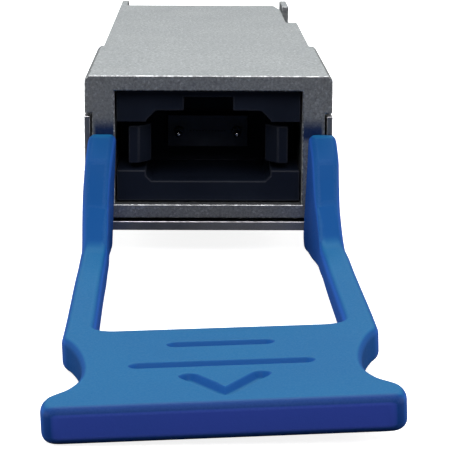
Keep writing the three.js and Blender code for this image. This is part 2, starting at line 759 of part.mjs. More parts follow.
function lensBlock() {
  const onBoard = BOARD_Z[1] + STANDOFF;
  const room = ({ half, y, top }, bottom) => block([-half, half], y, [bottom, top]);
  const mirrorCut = polygon([[29.6, 10], [30.6, 10], [29.6, 9.1]]);
  return geometryOf(cut(
    room(LENS_BLOCK, onBoard),
    room(DIE_SPACE, onBoard - PAST),
    fromSide(mirrorCut, [-2.2, 2.2]),
  ));
}

// A packaged or bare chip standing on the board's top face.
function chip({ x, y, height }) {
  return geometryOf(block(x, y, [BOARD_Z[1] + STANDOFF, BOARD_Z[1] + height]));
}

// The same chip on the other side of the board's centre line.
function mirroredChip({ x, y, height }) {
  return chip({ x: onSide(-1, ...x), y, height });
}

function thermalPad(side) {
  return geometryOf(block(onSide(side, ...RETIMER.x), RETIMER.y, PAD_Z));
}

// ---------------------------------------------------------------- assembly

const assembly = new THREE.Group();
assembly.position.y = -CENTRE_Y;

function place(name, geometry, material) {
  const mesh = new THREE.Mesh(geometry, material);
  mesh.name = name;
  assembly.add(mesh);
}

place('top_shell', topShell(), dieCast);
place('bottom_shell', bottomShell(), dieCast);
place('cover_screw_front_left', coverScrew(-SCREW_X, SCREW_Y[0]), stampedSteel);
place('cover_screw_front_right', coverScrew(SCREW_X, SCREW_Y[0]), stampedSteel);
place('cover_screw_rear_left', coverScrew(-SCREW_X, SCREW_Y[1]), stampedSteel);
place('cover_screw_rear_right', coverScrew(SCREW_X, SCREW_Y[1]), stampedSteel);
place('bottom_label', bottomLabel(), labelFilm);

place('latch_slider', latchSlider(), stampedSteel);
place('pull_tab', pullTab(), bluePlastic);
place('return_spring_left', returnSpring(-1), springSteel);
place('return_spring_right', returnSpring(1), springSteel);

place('mpo_receptacle', mpoReceptacle(), blackPlastic);
place('latch_hook_left', latchHook(-1), blackPlastic);
place('latch_hook_right', latchHook(1), blackPlastic);
place('mt_ferrule', mtFerrule(), ferrulePlastic);
place('guide_pin_left', guidePin(-1), springSteel);
place('guide_pin_right', guidePin(1), springSteel);
place('pin_keeper', pinKeeper(), stampedSteel);
place('shield_gasket', shieldGasket(), gasketFoam);
place('fibre_ribbon', fibreRibbon(), fibreCoat);

place('circuit_board', circuitBoard(), solderMask);
place('edge_contacts_top', edgeContacts([BOARD_Z[1], BOARD_Z[1] + CONTACT_THICK]), gold);
place('edge_contacts_bottom', edgeContacts([BOARD_Z[0] - CONTACT_THICK, BOARD_Z[0]]), gold);
place('lens_block', lensBlock(), amberPlastic);
place('laser_array', mirroredChip(ARRAY), bareDie);
place('detector_array', chip(ARRAY), bareDie);
place('laser_driver', mirroredChip(DRIVER), bareDie);
place('receiver_amplifier', chip(DRIVER), bareDie);
place('retimer_transmit', mirroredChip(RETIMER), chipPlastic);
place('retimer_receive', chip(RETIMER), chipPlastic);
place('thermal_pad_left', thermalPad(-1), padSilicone);
place('thermal_pad_right', thermalPad(1), padSilicone);
place('microcontroller', chip(CONTROLLER), chipPlastic);
place('supply_chip', chip(SUPPLY_CHIP), chipPlastic);
place('inductor_left', mirroredChip(INDUCTOR), chipPlastic);
place('inductor_right', chip(INDUCTOR), chipPlastic);
place('oscillator', chip(OSCILLATOR), springSteel);

const transceiver = new THREE.Group();
transceiver.add(assembly);

export default transceiver;
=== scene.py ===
"""Looks of the pull-tab optical transceiver: fine meshes, finishes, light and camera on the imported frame.

Lengths here are millimetres, apart from the studio's, which are metres. X points right, Y back from the
front face of the nose and Z up from the underside of the pull tab. TO_FRAME turns them into the frame's
metres, and box_of gives a CAD node's box. Colours are linear red, green and blue.
"""

import json
import math

import bmesh
import bpy
from mathutils import Matrix, Vector
from mathutils.geometry import interpolate_bezier


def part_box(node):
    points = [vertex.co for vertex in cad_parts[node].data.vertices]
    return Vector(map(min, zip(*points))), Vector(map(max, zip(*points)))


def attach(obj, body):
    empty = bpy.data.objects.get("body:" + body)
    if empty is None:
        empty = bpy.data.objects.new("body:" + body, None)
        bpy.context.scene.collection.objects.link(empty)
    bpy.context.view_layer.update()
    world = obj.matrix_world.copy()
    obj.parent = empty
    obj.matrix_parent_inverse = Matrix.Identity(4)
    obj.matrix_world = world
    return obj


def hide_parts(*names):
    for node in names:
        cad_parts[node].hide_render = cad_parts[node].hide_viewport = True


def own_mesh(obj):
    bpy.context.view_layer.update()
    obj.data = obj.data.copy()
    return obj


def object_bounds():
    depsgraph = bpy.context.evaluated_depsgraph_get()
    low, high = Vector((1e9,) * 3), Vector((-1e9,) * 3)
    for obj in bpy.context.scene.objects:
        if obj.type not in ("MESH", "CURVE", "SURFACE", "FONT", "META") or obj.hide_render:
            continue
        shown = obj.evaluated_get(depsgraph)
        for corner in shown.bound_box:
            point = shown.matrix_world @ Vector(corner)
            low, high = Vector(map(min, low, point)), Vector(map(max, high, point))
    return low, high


MM = 0.001

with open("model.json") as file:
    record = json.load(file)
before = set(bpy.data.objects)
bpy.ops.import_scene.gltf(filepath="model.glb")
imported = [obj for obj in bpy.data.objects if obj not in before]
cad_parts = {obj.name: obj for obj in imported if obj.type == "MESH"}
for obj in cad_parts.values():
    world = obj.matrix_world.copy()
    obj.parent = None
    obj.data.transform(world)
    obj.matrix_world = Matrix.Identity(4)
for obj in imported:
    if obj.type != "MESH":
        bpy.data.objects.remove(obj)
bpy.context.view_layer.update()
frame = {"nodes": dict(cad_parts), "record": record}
scene = bpy.context.scene

NOSE_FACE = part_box("top_shell")[0].y
TO_FRAME = Matrix.Translation((0, NOSE_FACE, 0)) @ Matrix.Diagonal((MM, MM, MM, 1))
TO_MM = TO_FRAME.inverted()
BODY_OF = {node: body for body, nodes in frame["record"]["behaviour"]["bodies"].items() for node in nodes}

# Mesh helpers: how near corners are welded and which faces count as flat, which edges are rounded, the
# share of a face that one rounding may take where two meet, the share at each end of an edge where
# others aren't in its way, which faces are part of a rounded edge, and which edges are shaded sharp.
WELD = 0.0005
FLAT = math.radians(0.6)
CREASE = math.radians(26)
LOOSE_CREASE = math.radians(60)
HALF_SHARE = 0.45
END_SHARE = 0.02
EDGE_TURN = math.radians(8)
EDGE_WIDTH = 0.2
SHARP = math.radians(38)


def box_of(node):
    """Lowest and highest corner of a CAD node, in millimetres."""
    low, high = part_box(node)
    return TO_MM @ low, TO_MM @ high


# ---------------------------------------------------------------- finishes


class Finish:
    """A procedural material whose patterns are laid out in millimetres."""

    def __init__(self, name, **shader):
        self.material = bpy.data.materials.new(name)
        self.material.use_nodes = True
        self.tree = self.material.node_tree
        self.shader = self.tree.nodes["Principled BSDF"]
        for socket, value in shader.items():
            self.shader.inputs[socket.replace("_", " ")].default_value = value
        self.coordinates = self.tree.nodes.new("ShaderNodeTexCoord")
        self.here = self.coordinates.outputs["Object"]
        self.normal = None

    def node(self, kind, inputs=(), **settings):
        made = self.tree.nodes.new("ShaderNode" + kind)
        for name, value in settings.items():
            setattr(made, name, value)
        for socket, value in dict(inputs).items():
            if isinstance(value, bpy.types.NodeSocket):
                self.tree.links.new(value, made.inputs[socket])
            else:
                made.inputs[socket].default_value = value
        return made

    def spread(self, size):
        """Coordinates in which one unit is that many millimetres along X, Y and Z."""
        sizes = size if isinstance(size, tuple) else (size,) * 3
        scale = [1 / (MM * part) for part in sizes]
        return self.node("Mapping", {"Vector": self.here, "Scale": scale}).outputs["Vector"]

    def noise(self, size, detail=2.0, rough=0.5):
        inputs = {"Vector": self.spread(size), "Scale": 1.0, "Detail": detail, "Roughness": rough}
        return self.node("TexNoise", inputs).outputs["Fac"]

    def cells(self, size, output="Distance"):
        inputs = {"Vector": self.spread(size), "Scale": 1.0}
        return self.node("TexVoronoi", inputs).outputs[output]

    def ranged(self, value, low, high, to_low=0.0, to_high=1.0):
        inputs = {"Value": value, "From Min": low, "From Max": high, "To Min": to_low, "To Max": to_high}
        return self.node("MapRange", inputs, interpolation_type="SMOOTHSTEP").outputs["Result"]

    def maths(self, operation, first, second):
        made = self.node("Math", {0: first, 1: second}, operation=operation, use_clamp=True)
        return made.outputs["Value"]

    def mixed(self, share, first, second):
        made = self.node("Mix", data_type="RGBA")
        colours = {"Factor_Float": share, "A_Color": first, "B_Color": second}
        for socket in made.inputs:
            if socket.identifier in colours:
                value = colours[socket.identifier]
                if isinstance(value, bpy.types.NodeSocket):
                    self.tree.links.new(value, socket)
                else:
                    socket.default_value = value if isinstance(value, float) else (*value, 1.0)
        return next(socket for socket in made.outputs if socket.identifier == "Result_Color")

    def edges(self):
        """1 along worn, rounded edges and 0 on faces."""
        return self.node("Attribute", attribute_name="edge").outputs["Fac"]

    def relief(self, height, depth):
        """Raises the surface by up to depth millimetres where height is 1."""
        inputs = {"Height": height, "Strength": 1.0, "Distance": depth * MM}
        if self.normal:
            inputs["Normal"] = self.normal
        self.normal = self.node("Bump", inputs).outputs["Normal"]

    def done(self, colour, roughness):
        self.tree.links.new(colour, self.shader.inputs["Base Color"])
        self.tree.links.new(roughness, self.shader.inputs["Roughness"])
        if self.normal:
            self.tree.links.new(self.normal, self.shader.inputs["Normal"])
        return self.material


def metal_finish(name, dark, light, rough, grain, depth, edge, patch=5.0, stretch=(1, 1, 1),
                 metallic=1.0):
    """Bare metal: cloudy tone, fine grain that may be drawn out one way, and bright rubbed edges."""
    made = Finish(name, Metallic=metallic)
    clouds = made.noise(patch, detail=3.0)
    fine = made.noise(tuple(grain * part for part in stretch), detail=2.0)
    tone = made.mixed(made.ranged(clouds, 0.3, 0.7), dark, light)
    tone = made.mixed(made.ranged(fine, 0.35, 0.65, 0.0, 0.35), tone, [part * 0.7 for part in dark])
    rubbed = made.maths("MULTIPLY", made.edges(), made.ranged(made.noise(0.5, detail=3.0), 0.3, 0.6))
    tone = made.mixed(rubbed, tone, edge)
    made.relief(fine, depth)
    made.relief(clouds, depth)
    return made.done(tone, made.ranged(clouds, 0.3, 0.7, rough - 0.05, rough + 0.07))


# The stretch of the nose's face that mirrors an arm of the tab, as soft limits: where the painted reflection
# starts to show and where it is full.
SHADE_INNER = (6.95, 7.1)
SHADE_OUTER = (8.8, 8.45)
SHADE_LOW = (8.2, 8.8)
SHADE_HIGH = (10.4, 9.2)
SHADE_BACK = (0.25, 0.12)


def painted_arm_reflection(made):
    """1 on the nose's face just above the tab's arms, where a tint is painted as their reflection."""
    place = made.node("SeparateXYZ", {"Vector": made.here}).outputs
    aside = made.node("Math", {0: place["X"]}, operation="ABSOLUTE").outputs["Value"]

    def within(value, limits, start=0.0):
        return made.ranged(value, *[start + limit * MM for limit in limits])

    across = made.maths("MULTIPLY", within(aside, SHADE_INNER), within(aside, SHADE_OUTER))
    upright = made.maths("MULTIPLY", within(place["Z"], SHADE_LOW), within(place["Z"], SHADE_HIGH))
    on_face = within(place["Y"], SHADE_BACK, NOSE_FACE)
    return made.maths("MULTIPLY", on_face, made.maths("MULTIPLY", across, upright))


def die_cast():
    """Bead-blasted, nickel-plated zinc: sand, dark pits, bright crystal faces with painted glints and rubbed
    edges.

    A painted reflection: a blue tint just above the tab's arms stands for what the plated face mirrors
    there.
    """
    made = Finish("die_cast", Metallic=1.0)
    clouds = made.noise(6.0, detail=3.0)
    sand = made.noise(0.2, detail=3.0, rough=0.75)
    pits = made.noise(0.34, detail=2.0, rough=0.6)
    grains_and_glints = made.node("SeparateColor", {"Color": made.cells(0.15, "Color")}).outputs["Red"]
    tone = made.mixed(made.ranged(clouds, 0.3, 0.7), (0.43, 0.445, 0.45), (0.48, 0.495, 0.495))
    tone = made.mixed(made.ranged(sand, 0.42, 0.58, 0.0, 0.62), tone, (0.24, 0.25, 0.26))
    tone = made.mixed(made.ranged(pits, 0.54, 0.68, 0.0, 0.5), tone, (0.2, 0.205, 0.215))
    # Paler crystal grains, which also serve as painted glints.
    tone = made.mixed(made.ranged(grains_and_glints, 0.84, 1.0, 0.0, 0.45), tone, (0.8, 0.82, 0.83))
    # Painted reflection: the tab's blue arms tinted into the nose's face just above them.
    tone = made.mixed(made.maths("MULTIPLY", painted_arm_reflection(made), 0.94), tone, (0.011, 0.042, 0.156))
    worn = made.ranged(made.noise(0.3, detail=4.0, rough=0.7), 0.46, 0.6)
    tone = made.mixed(made.maths("MULTIPLY", made.edges(), 0.6), tone, (0.2, 0.205, 0.21))
    tone = made.mixed(made.maths("MULTIPLY", made.edges(), worn), tone, (0.62, 0.64, 0.64))
    made.relief(made.cells(0.15), 0.004)
    made.relief(sand, 0.008)
    return made.done(tone, made.ranged(sand, 0.3, 0.7, 0.38, 0.52))


def plastic_finish(name, dark, light, rough, grain=0.12, depth=0.006, patch=4.0, pale_edge=0.1, **shader):
    """Moulded plastic: slight flow clouds, a fine eroded texture and a paler line on the edges."""
    made = Finish(name, **shader)
    clouds = made.noise(patch, detail=2.0)
    fine = made.noise(grain, detail=3.0, rough=0.6)
    tone = made.mixed(made.ranged(clouds, 0.3, 0.7), dark, light)
    paler = [part + (1 - part) * 0.25 for part in light]
    line = made.maths("MULTIPLY", made.edges(), made.ranged(fine, 0.3, 0.7, 0.4 * pale_edge, pale_edge))
    tone = made.mixed(line, tone, paler)
    made.relief(fine, depth)
    made.relief(clouds, depth * 3)
    return made.done(tone, made.ranged(fine, 0.3, 0.7, rough - 0.06, rough + 0.06))


# Stretches of the tab along Y, as soft limits in front of the nose: its front brow and the two ends of
# the thumb notches, where blue_tab paints a darker shade.
BROW = (45.3, 45.8)
NOTCH_REAR = (31.9, 32.6)
NOTCH_FRONT = (43.2, 42.2)


def blue_tab():
    """Moulded blue plastic whose tone for each way that a face looks is painted light and shade.

    Faces that look up or to the sides are painted paler, the front end a deeper painted shade, and the front
    brow and the notches' walls a darker painted shade.
    """
    made = Finish("blue_tab", Specular_IOR_Level=0.12)
    clouds = made.noise(7.0, detail=2.0)
    fine = made.noise(0.12, detail=3.0, rough=0.6)
    facing = made.node("SeparateXYZ", {"Vector": made.coordinates.outputs["Normal"]}).outputs
    sideways = made.node("Math", {0: facing["X"]}, operation="ABSOLUTE").outputs["Value"]
    along = made.node("SeparateXYZ", {"Vector": made.here}).outputs["Y"]

    def ahead(limits):
        return made.ranged(along, *[NOSE_FACE - limit * MM for limit in limits])

    # Painted light and shade by the way a face looks: sides brighter, tops paler, the front a deeper violet.
    tone = made.mixed(made.ranged(sideways, 0.6, 0.9), (0.002, 0.074, 0.275), (0.015, 0.097, 0.43))
    tone = made.mixed(made.ranged(facing["Z"], 0.74, 0.97), tone, (0.003, 0.121, 0.297))
    tone = made.mixed(made.ranged(facing["Y"], -0.78, -0.98), tone, (0.034, 0.068, 0.4))
    tone = made.mixed(made.ranged(clouds, 0.3, 0.7, 0.0, 0.12), tone, (0.006, 0.08, 0.26))
    # Painted shade: the front brow's forward-looking faces darker.
    brow = made.maths("MULTIPLY", ahead(BROW), made.ranged(facing["Y"], -0.995, -0.9))
    tone = made.mixed(brow, tone, (0.003, 0.04, 0.205))
    # Painted shade: the thumb notches' side walls darker.
    notch = made.maths("MULTIPLY", ahead(NOTCH_REAR), ahead(NOTCH_FRONT))
    notch = made.maths("MULTIPLY", notch, made.ranged(sideways, 0.25, 0.6, 0.0, 0.9))
    tone = made.mixed(notch, tone, (0.003, 0.07, 0.265))
    line = made.maths("MULTIPLY", made.edges(), made.ranged(fine, 0.3, 0.7, 0.0, 0.04))
    tone = made.mixed(line, tone, (0.2, 0.35, 0.6))
    made.relief(fine, 0.005)
    made.relief(clouds, 0.018)
    return made.done(tone, made.ranged(fine, 0.3, 0.7, 0.5, 0.62))


def board_finish():
    """Green solder mask over faint copper tracks and a glass weave."""
    made = Finish("board", Coat_Weight=0.4, Coat_Roughness=0.15)
    tracks = made.node("TexBrick", {
        "Vector": made.spread((1.1, 2.3, 1.0)), "Scale": 1.0, "Mortar Size": 0.06, "Mortar Smooth": 0.2,
        "Brick Width": 0.9, "Row Height": 0.3, "Color1": (1, 1, 1, 1), "Color2": (0.8, 0.8, 0.8, 1),
        "Mortar": (0, 0, 0, 1),
    }, offset=0.37).outputs["Color"]
    weave = made.noise((0.35, 0.6, 0.35), detail=1.0)
    tone = made.mixed(tracks, (0.012, 0.10, 0.045), (0.018, 0.15, 0.065))
    tone = made.mixed(made.ranged(weave, 0.3, 0.7, 0.0, 0.3), tone, (0.01, 0.08, 0.04))
    made.relief(tracks, 0.012)
    made.relief(weave, 0.004)
    return made.done(tone, made.ranged(weave, 0.3, 0.7, 0.3, 0.42))


def foam_finish():
    """Conductive fabric over foam: a fine plain weave of plated threads."""
    made = Finish("shield_foam", Metallic=0.6, Sheen_Weight=0.2)
    threads = {"Vector": made.spread(0.2), "Scale": 0.5}
    warp = made.node("TexWave", threads, bands_direction="X").outputs["Fac"]
    weft = made.node("TexWave", threads, bands_direction="Z").outputs["Fac"]
    weave = made.maths("MULTIPLY", warp, weft)
    clouds = made.noise(1.5)
    tone = made.mixed(weave, (0.06, 0.06, 0.065), (0.24, 0.24, 0.25))
    tone = made.mixed(made.ranged(clouds, 0.3, 0.7, 0.0, 0.4), tone, (0.1, 0.1, 0.105))
    made.relief(weave, 0.03)
    return made.done(tone, made.ranged(clouds, 0.3, 0.7, 0.5, 0.65))


FINISHES = {
    "die_cast": die_cast(),
    "latch_steel": metal_finish("latch_steel", (0.42, 0.42, 0.43), (0.54, 0.54, 0.55), 0.34, 0.08, 0.01,
                                (0.85, 0.85, 0.86), stretch=(1, 9, 1)),
    "spring_steel": metal_finish("spring_steel", (0.5, 0.5, 0.52), (0.66, 0.66, 0.68), 0.25, 0.05, 0.003,
                                 (0.85, 0.85, 0.86), patch=1.0),
    "screw_steel": metal_finish("screw_steel", (0.3, 0.3, 0.31), (0.46, 0.46, 0.48), 0.3, 0.06, 0.006,
                                (0.8, 0.8, 0.8), patch=0.8),
    "guide_pin_steel": metal_finish("guide_pin_steel", (0.7, 0.7, 0.72), (0.8, 0.8, 0.82), 0.15, 0.04,
                                    0.001, (0.9, 0.9, 0.9), patch=1.0),
    "contact_gold": metal_finish("contact_gold", (0.88, 0.6, 0.2), (1.0, 0.74, 0.32), 0.3, 0.05, 0.002,
                                 (1.0, 0.82, 0.5), patch=1.2, stretch=(1, 12, 1), metallic=0.4),
    "bare_die": metal_finish("bare_die", (0.16, 0.17, 0.21), (0.24, 0.25, 0.3), 0.16, 0.1, 0.001,
                             (0.5, 0.5, 0.55), patch=0.6),
    "can_metal": metal_finish("can_metal", (0.55, 0.53, 0.5), (0.68, 0.66, 0.62), 0.3, 0.07, 0.004,
                              (0.85, 0.84, 0.8), patch=1.0),
    "blue_tab": blue_tab(),
    "port_black": plastic_finish("port_black", (0.006, 0.009, 0.018), (0.009, 0.013, 0.024), 0.5,
                                 pale_edge=0.06, Specular_IOR_Level=0.12),
    "ferrule_resin": plastic_finish("ferrule_resin", (0.026, 0.031, 0.046), (0.034, 0.04, 0.058), 0.4,
                                    depth=0.002, patch=1.5, Specular_IOR_Level=0.25),
    "lens_resin": plastic_finish("lens_resin", (0.5, 0.2, 0.03), (0.6, 0.27, 0.05), 0.14, depth=0.001,
                                 patch=2.0, Transmission_Weight=0.5, IOR=1.63),
    "fibre": plastic_finish("fibre", (0.03, 0.32, 0.40), (0.05, 0.42, 0.50), 0.3, depth=0.002, patch=2.0),
    "chip_black": plastic_finish("chip_black", (0.018, 0.018, 0.02), (0.028, 0.028, 0.03), 0.58, grain=0.07,
                                 depth=0.008, patch=1.5, pale_edge=0.25),
    "ferrite": plastic_finish("ferrite", (0.06, 0.06, 0.065), (0.10, 0.10, 0.105), 0.75, grain=0.1,
                              depth=0.02, patch=0.8, pale_edge=0.3),
    "thermal_silicone": plastic_finish("thermal_silicone", (0.27, 0.34, 0.42), (0.34, 0.41, 0.49), 0.78,
                                       grain=0.15, depth=0.02, patch=1.0, Subsurface_Weight=0.1),
    "label_film": plastic_finish("label_film", (0.72, 0.72, 0.70), (0.8, 0.8, 0.78), 0.42, grain=0.3,
                                 depth=0.003, patch=8.0, Coat_Weight=0.3),
    "board": board_finish(),
    "shield_foam": foam_finish(),
}

# ---------------------------------------------------------------- mesh helpers


def smooth(share):
    """A soft step from 0 to 1, level at both ends."""
    return share * share * (3 - 2 * share)


def join_rings(bm, lower, upper):
    """Faces between two rings that have the same number of corners."""
    for index in range(len(lower)):
        after = (index + 1) % len(lower)
        bm.faces.new((lower[index], lower[after], upper[after], upper[index]))


def lofted(rings):
    """A closed surface through rings of points, with a flat face on the first and on the last."""
    bm = bmesh.new()
    loops = [[bm.verts.new(point) for point in ring] for ring in rings]
    for lower, upper in zip(loops, loops[1:]):
        join_rings(bm, lower, upper)
    bm.faces.new(loops[0])
    bm.faces.new(loops[-1])
    bmesh.ops.recalc_face_normals(bm, faces=bm.faces)
    return bm


def prism(outline, axis, low, high):
    """A closed solid: an outline in the two other axes, run from low to high along the axis."""
    places = {
        "x": lambda point, at: (at, point[0], point[1]),
        "y": lambda point, at: (point[0], at, point[1]),
        "z": lambda point, at: (point[0], point[1], at),
    }
    place = places[axis]
    bm = bmesh.new()
    rings = [[bm.verts.new(place(point, at)) for point in outline] for at in (low, high)]
    for ring in rings:
        bm.faces.new(ring)
    join_rings(bm, *rings)
    bmesh.ops.recalc_face_normals(bm, faces=bm.faces)
    return bm


def block(low, high):
    """A box between two corners."""
    return prism([(low[0], low[1]), (high[0], low[1]), (high[0], high[1]), (low[0], high[1])],
                 "z", low[2], high[2])


def slab(x, y, half_x, half_y, low, high):
    """A box from its middle in plan, its half sizes and its lower and upper faces."""
    return block((x - half_x, y - half_y, low), (x + half_x, y + half_y, high))


def rounded_outline(corners, steps=6):
    """A closed outline from corners given as (u, v, radius), each rounded by an arc."""
    outline = []
    for index, (u, v, radius) in enumerate(corners):
        corner = Vector((u, v))
        if radius == 0:
            outline.append(corner)
            continue
        before = (Vector(corners[index - 1][:2]) - corner).normalized()
        after = (Vector(corners[(index + 1) % len(corners)][:2]) - corner).normalized()
        half = before.angle(after) / 2
        centre = corner + (before + after).normalized() * radius / math.sin(half)
        start = corner + before * radius / math.tan(half) - centre
        end = corner + after * radius / math.tan(half) - centre
        turn = start.angle_signed(end)
        for step in range(steps + 1):
            outline.append(centre + Matrix.Rotation(-turn * step / steps, 2) @ start)
    return outline


def with_modifiers(bm, function):
    """Runs function on an object that holds the mesh, and returns its evaluated mesh as a bmesh."""
    mesh = bpy.data.meshes.new("work")
    bm.to_mesh(mesh)
    bm.free()
    holder = bpy.data.objects.new("work", mesh)
    scene.collection.objects.link(holder)
    function(holder)
    evaluated = holder.evaluated_get(bpy.context.evaluated_depsgraph_get())
    result = bmesh.new()
    result.from_mesh(evaluated.to_mesh())
    evaluated.to_mesh_clear()
    bpy.data.objects.remove(holder)
    bpy.data.meshes.remove(mesh)
    return result


def combined(bm, tool, operation):
    """The two solids joined (UNION), the tool cut away (DIFFERENCE) or what they share (INTERSECT)."""
    tool_mesh = bpy.data.meshes.new("tool")
    tool.to_mesh(tool_mesh)
    tool.free()
    tool_holder = bpy.data.objects.new("tool", tool_mesh)
    scene.collection.objects.link(tool_holder)

    def add_boolean(holder):
        modifier = holder.modifiers.new("cut", "BOOLEAN")
        modifier.object = tool_holder
        modifier.operation = operation
        modifier.solver = "EXACT"

    result = with_modifiers(bm, add_boolean)
    bpy.data.objects.remove(tool_holder)
    bpy.data.meshes.remove(tool_mesh)
    return result


def cut(bm, *tools):
    for tool in tools:
        bm = combined(bm, tool, "DIFFERENCE")
    return bm


def cleaned(bm, weld=WELD):
    """Shared corners welded and flat neighbours joined into one face."""
    bmesh.ops.remove_doubles(bm, verts=bm.verts, dist=weld)
    bmesh.ops.dissolve_limit(bm, angle_limit=FLAT, verts=bm.verts, edges=bm.edges)
    return bm


def room_in_face(start, sharp):
    """The widest rounding of a loop's edge that meets nothing else inside its face."""
    after = start.link_loop_next
    origin = start.vert.co
    run = after.vert.co - origin
    length = run.length
    along = run / length
    inward = start.face.normal.cross(along)
    room = length * 10
    for corner, neighbour in ((start, start.link_loop_prev.edge), (after, after.edge)):
        if not corner.is_convex:
            continue
        angle = corner.calc_angle()
        if neighbour in sharp:
            room = min(room, HALF_SHARE * min(length, neighbour.calc_length()) * math.tan(angle / 2))
        else:
            far = neighbour.other_vert(corner.vert)
            share = HALF_SHARE if any(edge in sharp for edge in far.link_edges) else 2 * HALF_SHARE
            room = min(room, share * neighbour.calc_length() * math.sin(angle))
    for other in start.face.loops:
        if other in (start, start.link_loop_prev, after):
            continue
        ends = [point - origin for point in (other.vert.co, other.link_loop_next.vert.co)]
        places = [end.dot(along) for end in ends]
        heights = [end.dot(inward) for end in ends]
        if max(places) < END_SHARE * length or min(places) > (1 - END_SHARE) * length:
            continue
        reach = places[1] - places[0]
        shares = [0.0, 1.0]
        if abs(reach) > 1e-6:
            shares = [min(1.0, max(0.0, (bound - places[0]) / reach)) for bound in (0.0, length)]
        height = min(heights[0] + (heights[1] - heights[0]) * share for share in shares)
        if height > 1e-4:
            room = min(room, height * (HALF_SHARE if other.edge in sharp else 2 * HALF_SHARE))
    return room


def eased(bm, radius, segments=3, crease=CREASE, softness=lambda place: 1.0):
    """Every edge sharper than crease rounded to the radius, or to less where the room is short."""
    weight = bm.edges.layers.float.new("bevel_weight_edge")
    sharp = {edge for edge in bm.edges if edge.is_manifold and edge.calc_face_angle() > crease}
    for edge in sharp:
        room = min(room_in_face(loop, sharp) for loop in edge.link_loops)
        middle = (edge.verts[0].co + edge.verts[1].co) / 2
        edge[weight] = min(1.0, room / radius) * softness(middle)

    def add_bevel(holder):
        modifier = holder.modifiers.new("bevel", "BEVEL")
        modifier.limit_method = "WEIGHT"
        modifier.width = radius
        modifier.segments = segments
        modifier.use_clamp_overlap = False

    rounded = with_modifiers(bm, add_bevel)
    rounded.edges.layers.float.remove(rounded.edges.layers.float["bevel_weight_edge"])
    return rounded


def mark_edges(bm):
    """Stores 1 in the edge attribute of every narrow face that is part of a rounded outer edge."""
    layer = bm.faces.layers.float.new("edge")
    for face in bm.faces:
        turns = [edge.calc_face_angle_signed() for edge in face.edges if edge.is_manifold]
        width = face.calc_area() / max(edge.calc_length() for edge in face.edges)
        rounded = sum(turn > EDGE_TURN for turn in turns) >= 2 and width < EDGE_WIDTH
        face[layer] = 1.0 if rounded else 0.0


def piece(name, bm, body, slot, replaced=(), sharp=SHARP):
    """The finished mesh as a piece that rides on a body and stands for CAD nodes."""
    mark_edges(bm)
    mesh = bpy.data.meshes.new(name)
    bm.transform(TO_FRAME)
    bm.to_mesh(mesh)
    bm.free()
    mesh.shade_smooth()
    mesh.set_sharp_from_angle(angle=sharp)
    mesh.materials.append(FINISHES[slot])
    made = bpy.data.objects.new(name, mesh)
    scene.collection.objects.link(made)
    shading = made.modifiers.new("shading", "WEIGHTED_NORMAL")
    shading.keep_sharp = True
    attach(made, body)
    if replaced:
        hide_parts(*replaced)
    return made


def cad_mesh(node):
    """A copy of a CAD node's mesh, in millimetres."""
    bm = bmesh.new()
    bm.from_mesh(frame["nodes"][node].data)
    bm.transform(TO_MM)
    return cleaned(bm)


def fine(node, slot, radius, *cutters):
    """A CAD node's shape with its edges rounded, and further detail cut into it."""
    bm = cut(eased(cad_mesh(node), radius), *cutters)
    return piece(node + "_fine", bm, BODY_OF[node], slot, [node])


# ---------------------------------------------------------------- pull tab

TAB_REAR = -0.15
TAB_FRONT = box_of("pull_tab")[0].y
TAB_THICK = 2.05
TAB_TOP = 8.95
TAB_EDGE = 0.5

# The generic marks on the grip, each from one end to the other, and the half widths and depth of a groove.
GRIP_MARKS = (
    ((-2.6, -34.1), (2.6, -34.1)),
    ((-4.72, -38.3), (4.72, -38.3)),
    ((-1.85, -40.7), (0.15, -43.95)),
    ((2.15, -40.7), (0.15, -43.95)),
)
MARK_FLOOR = 0.14
MARK_RIM = 0.66
MARK_DEPTH = 0.38

# Stretches in front of the nose for swell: where the thumb notches soften the edges less, and where the
# gussets' feet are set askew.
SOFT_NOTCHES = (30.9, 32.2, 41.8, 43.2)
NOTCH_EASING = 0.15
GUSSET_FEET = (1.5, 7.0, 10.0, 17.0)

# The tab is cut into slices before it is bent. The gussets' feet are set askew about the middle of the
# arms, and close to the nose both arms lean to the right, the more the higher they are.
FIRST_SLICE = -0.6
SLICE = 0.8
ARM_INNER = 7.0
ARM_MIDDLE = 8.5
FOOT_SKEW = 0.8
ARM_LEAN = 0.045
LEAN_START = 2.0
LEAN_REACH = 8.0
PIVOT_HEIGHT = 1.0

# How the worn tab sits: place along Y, lean to the right and roll in degrees.
SLACK = (
    (0.0, 0.0, 0.0),
    (-2.5, 0.1, 0.0),
    (-8.0, 0.33, 1.05),
    (-13.0, 0.36, 2.05),
    (-31.0, 0.54, 2.1),
    (-46.0, 0.55, 2.4),
)

PRONG_LOW = 4.16
PRONG_HIGH = 6.24

# How far outlines run on that only have to pass right through the tab.
THROUGH = 12


def bezier(*points):
    """The curve from the first point to the last, with the two middle points as handles."""
    return interpolate_bezier(*[Vector((*point, 0)) for point in points], 10)[1:]


def both_sides(side):
    """A closed outline from its right half, given as vectors."""
    return [(point.x, point.y) for point in side] + [(-point.x, point.y) for point in reversed(side)]


def tab_plan():
    """The tab from above: two arms, a thumb notch in each side and a wide front end."""
    side = [Vector((9.35, 2.5)), Vector((9.35, -0.3)), Vector((9.46, -2)), Vector((9.5, -4))]
    side += bezier((9.5, -4), (9.5, -12), (9.55, -26), (9.54, -31.2))
    side += bezier((9.54, -31.2), (9.54, -31.7), (9.35, -32.1), (9.2, -32.4))
    side += bezier((9.2, -32.4), (8.5, -34.0), (7.93, -36.9), (7.93, -39.0))
    side += bezier((7.93, -39.0), (7.93, -40.5), (8.18, -41.2), (8.45, -41.8))
    side += bezier((8.45, -41.8), (8.65, -42.3), (8.95, -42.6), (9.2, -42.85))
    side += bezier((9.2, -42.9), (9.6, -43.2), (9.78, -43.8), (9.78, -44.5))
    side += bezier((9.78, -44.5), (9.78, -45.5), (9.5, -46), (8.6, -46))
    return both_sides(side)


